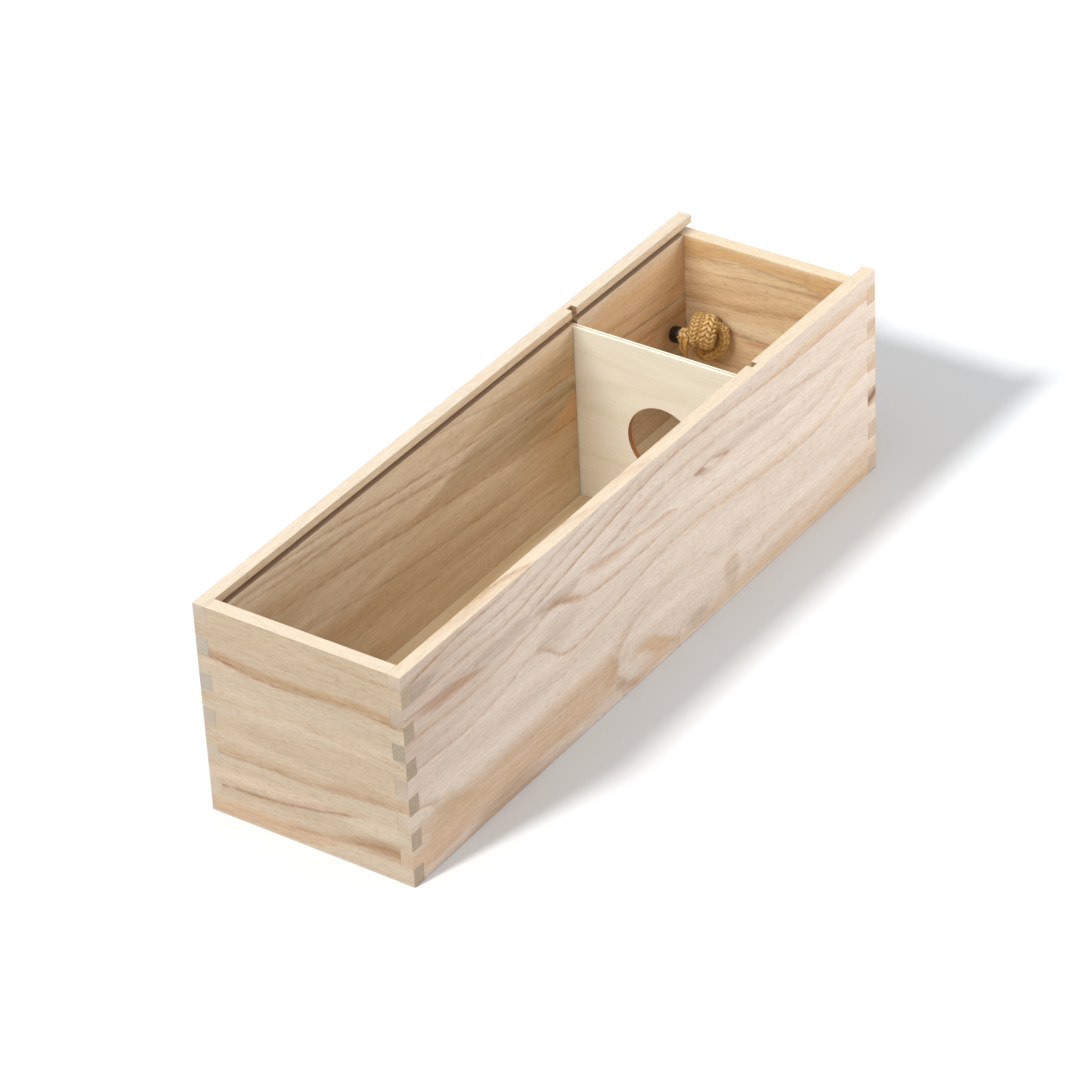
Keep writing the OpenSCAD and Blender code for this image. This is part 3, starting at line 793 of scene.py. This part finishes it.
# ---------------------------------------------------------------------------------------------
# The floor is a panel of three-millimetre plywood that lies in a groove round the four boards.
# Its face veneer is peeled off the log, so its grain is broad and faint.


def plywood(name, runs, face, line, core, middle, thick, layered, hole=None):
    """Three-layer plywood: a peeled face veneer on each side of a darker core, which shows at
    the edges. layered is the axis through the layers and middle its place in millimetres."""
    ply = surface(name, {"Roughness": 0.6, "Specular IOR Level": 0.3})
    place = add(ply, "TexCoord")
    xyz = add(ply, "SeparateXYZ", place.outputs["Object"])
    facing = add(ply, "SeparateXYZ", place.outputs["Normal"])
    turned = None if runs == "X" else (0, 0, -math.pi / 2)
    board = add(ply, "Mapping", place.outputs["Object"], None, turned, (1000, 1000, 1000))
    peeled = add(ply, "TexNoise", add(ply, "Mapping", board, None, None, (0.0045, 0.04, 0.04)),
                 None, 1, 1.5, 0.35)
    waves = add(ply, "Math", peeled, 7, operation="MULTIPLY")
    wave = add(ply, "Math", waves, 1, operation="PINGPONG")
    colour = add(ply, "ValToRGB", wave, stops=[(0, paint(line)), (0.4, paint(face[0])),
                                               (1, paint(face[1]))])
    fibre = add(ply, "TexNoise", add(ply, "Mapping", board, None, None, (0.07, 1.8, 1.8)),
                None, 1, 5, 0.7)
    fibre_tone = add(ply, "MapRange", fibre, 0.3, 0.7, 0.94, 1.04)
    colour = add(ply, "MixRGB", 1, colour, add(ply, "CombineXYZ", fibre_tone, fibre_tone, fibre_tone),
                 blend_type="MULTIPLY")
    axis = "XYZ".index(layered)
    across_layers = add(ply, "Math", xyz.outputs[axis], 1000, operation="MULTIPLY")
    in_core = add(ply, "Math", across_layers, middle, thick / 7, operation="COMPARE")
    at_edge = add(ply, "Math", add(ply, "Math", facing.outputs[axis], operation="ABSOLUTE"), 0.5,
                  operation="LESS_THAN")
    edge_dots = add(ply, "TexNoise", add(ply, "Mapping", board, None, None, (0.9, 0.9, 2)),
                    None, 1, 4, 0.7)
    core_tone = add(ply, "ValToRGB", edge_dots, stops=[(0.35, paint(core[0])), (0.65, paint(core[1]))])
    core_seen = add(ply, "Math", in_core, at_edge, operation="MULTIPLY")
    colour = add(ply, "MixRGB", core_seen, colour, core_tone)
    if hole:
        # The router has scorched the hole's edge to a light brown.
        hole_x, hole_z, radius = hole
        hole_place = add(ply, "Mapping", place.outputs["Object"], (-hole_x, 0, -hole_z), None, (1, 0, 1))
        from_hole = add(ply, "VectorMath", hole_place, operation="LENGTH")
        round_hole = add(ply, "Math", from_hole.outputs["Value"], radius + 0.0004, operation="LESS_THAN")
        scorched = add(ply, "Math", round_hole, at_edge, operation="MULTIPLY")
        colour = add(ply, "MixRGB", scorched, colour, paint("#B0794A"))
    dress(ply, colour, add(ply, "Bump", 0.3, 0.00005, None, fibre))
    return ply


floor_ply = plywood("poplar_plywood_floor", "Y", ("#DCC7A6", "#E6D5B8"), "#D2B88F",
                    ("#9A7650", "#B8936A"), 5.5, 3, "Z")
floor_panel = eased_board("floor_panel", "plywood_floor", "box", floor_ply, 0.0002)

# ---------------------------------------------------------------------------------------------
# The divider is cut from the same plywood in a paler veneer, with a routed round hole. It
# stands loose in the two upright slots and lifts out.

divider_ply = plywood("poplar_plywood_divider", "X", ("#F8F5E4", "#FBF8EB"), "#F3EFDC",
                      ("#C4A283", "#DEC3A6"), 82.65, 2.7, "Y", (0.0015, 0.0465, 0.0175))
divider = eased_board("divider", "plywood_divider", "divider", divider_ply)

# ---------------------------------------------------------------------------------------------
# The lid is a thin planed board that slides in the walls' grooves from the far end. Here it is
# taken off and stands on its long edge against the left wall.

lid_wood = bare_wood(
    "paulownia_sanded_lid", "Y", -52.5, ("#D2BC9E", "#DDC9AE", "#E7D6BF"), "#A1703F", "#DCCDB7",
    "#DDC9AE", ("#BBAF9E", "#D3C9B8"), [(0, 0.7), (100, 0.7)], lean=0.6, grooved=False,
    lines=[
        ([(0, 84), (60, 86), (130, 83), (200, 85), (280, 81), (348, 83)], 0.9, 3, 0.6),
        ([(0, 70), (80, 73), (150, 68), (230, 71), (348, 66)], 0.9, 3, 0.7),
        ([(0, 57), (70, 60), (140, 56), (220, 60), (300, 54), (348, 55)], 1.0, 3, 0.7),
        ([(0, 22), (90, 20), (170, 26), (260, 23), (348, 28)], 0.9, -3, 0.7),
        ([(0, 9), (100, 8), (200, 13), (348, 12)], 0.8, -3, 0.6),
    ],
    ovals=[((150, 41), (110, 9), 1.0, 3, 0.6, 0, 600), ((135, 41), (55, 4.2), 0.8, 2, 0.5, 0, 600)],
    bands=[([(0, 9.5, 20), (90, 9, 18), (200, 13.5, 23), (348, 13, 26)], "#D0AE85", 0.6, 4, 1),
           ([(40, 70.5, 75), (150, 68.5, 78), (260, 70, 76), (348, 66.5, 70)], "#D8BE9E", 0.6, 0.8, 4)],
    patches=[((260, 40), (60, 8), "#D6BA95", 0.5)])
lid = eased_board("lid", "sliding_paulownia_lid", "lid", lid_wood, 0.0003)

# ---------------------------------------------------------------------------------------------
# The box stands on a seamless white floor in a white studio. A broad lamp overhead and a fill on
# the right light it softly, and a lamp for the floor alone lays its shadow behind it.

bpy.ops.object.select_all(action="DESELECT")
bpy.ops.mesh.primitive_plane_add(size=40, location=(0, 0, -0.0001))
studio_floor = bpy.context.object
studio_floor.name = "studio_floor"
white_floor = surface("painted_white_floor", {"Roughness": 1, "Specular IOR Level": 0})
floor_seen = add(white_floor, "LightPath")
dress(white_floor, add(white_floor, "MixRGB", floor_seen.outputs["Is Camera Ray"],
                       (0.6, 0.6, 0.6, 1), (0.83, 0.85, 0.87, 1)))
studio_floor.data.materials.append(white_floor)

studio = bpy.data.worlds.new("white_studio")
bpy.context.scene.world = studio
studio.use_nodes = True
studio_sky = studio.node_tree.nodes["Background"]
seen = add(studio, "LightPath")
seen_direct = seen.outputs["Is Camera Ray"]
for way in ("Is Glossy Ray", "Is Transmission Ray"):
    seen_direct = add(studio, "Math", seen_direct, seen.outputs[way], operation="MAXIMUM")
brightness = add(studio, "MapRange", seen_direct, 0, 1, 0.72, 1)
studio_sky.inputs["Color"].default_value = (1, 1, 1, 1)
studio.node_tree.links.new(brightness.outputs[0], studio_sky.inputs["Strength"])

floor_only = bpy.data.collections.new("lit_for_its_shadow")
floor_only.objects.link(studio_floor)
shadow_lamp = bpy.data.lights.new("floor_shadow_lamp", "SUN")
shadow_lamp.energy = 2.6
shadow_lamp.angle = math.radians(7)
shadow_sun = put("floor_shadow_lamp", shadow_lamp)
shadow_sun.rotation_euler = Vector((-0.3, -1.07, 1.0)).to_track_quat("Z", "Y").to_euler()
shadow_sun.light_linking.receiver_collection = floor_only

not_floor = bpy.data.collections.new("lit_box")
for piece in bpy.context.scene.objects:
    if piece.type == "MESH" and piece != studio_floor:
        not_floor.objects.link(piece)
for name, place, aim, size, energy in (
        ("key_softbox", (-0.35, -1.25, 1.35), (0, 0, 0.05), 0.8, 17),
        ("overhead_softbox", (0.1, 0.1, 1.5), (0, 0, 0), 1.3, 5),
        ("far_right_softbox", (0.47, 0.47, 0.27), (0, 0.05, 0.05), 0.3, 1.7)):
    softbox = bpy.data.lights.new(name, "AREA")
    softbox.shape, softbox.size, softbox.energy = "SQUARE", size, energy
    lamp = put(name, softbox)
    lamp.location = place
    lamp.rotation_euler = (Vector(place) - Vector(aim)).to_track_quat("Z", "Y").to_euler()
    lamp.visible_camera = False
    lamp.light_linking.receiver_collection = not_floor

bpy.context.scene.view_settings.view_transform = "Standard"

bpy.context.view_layer.update()
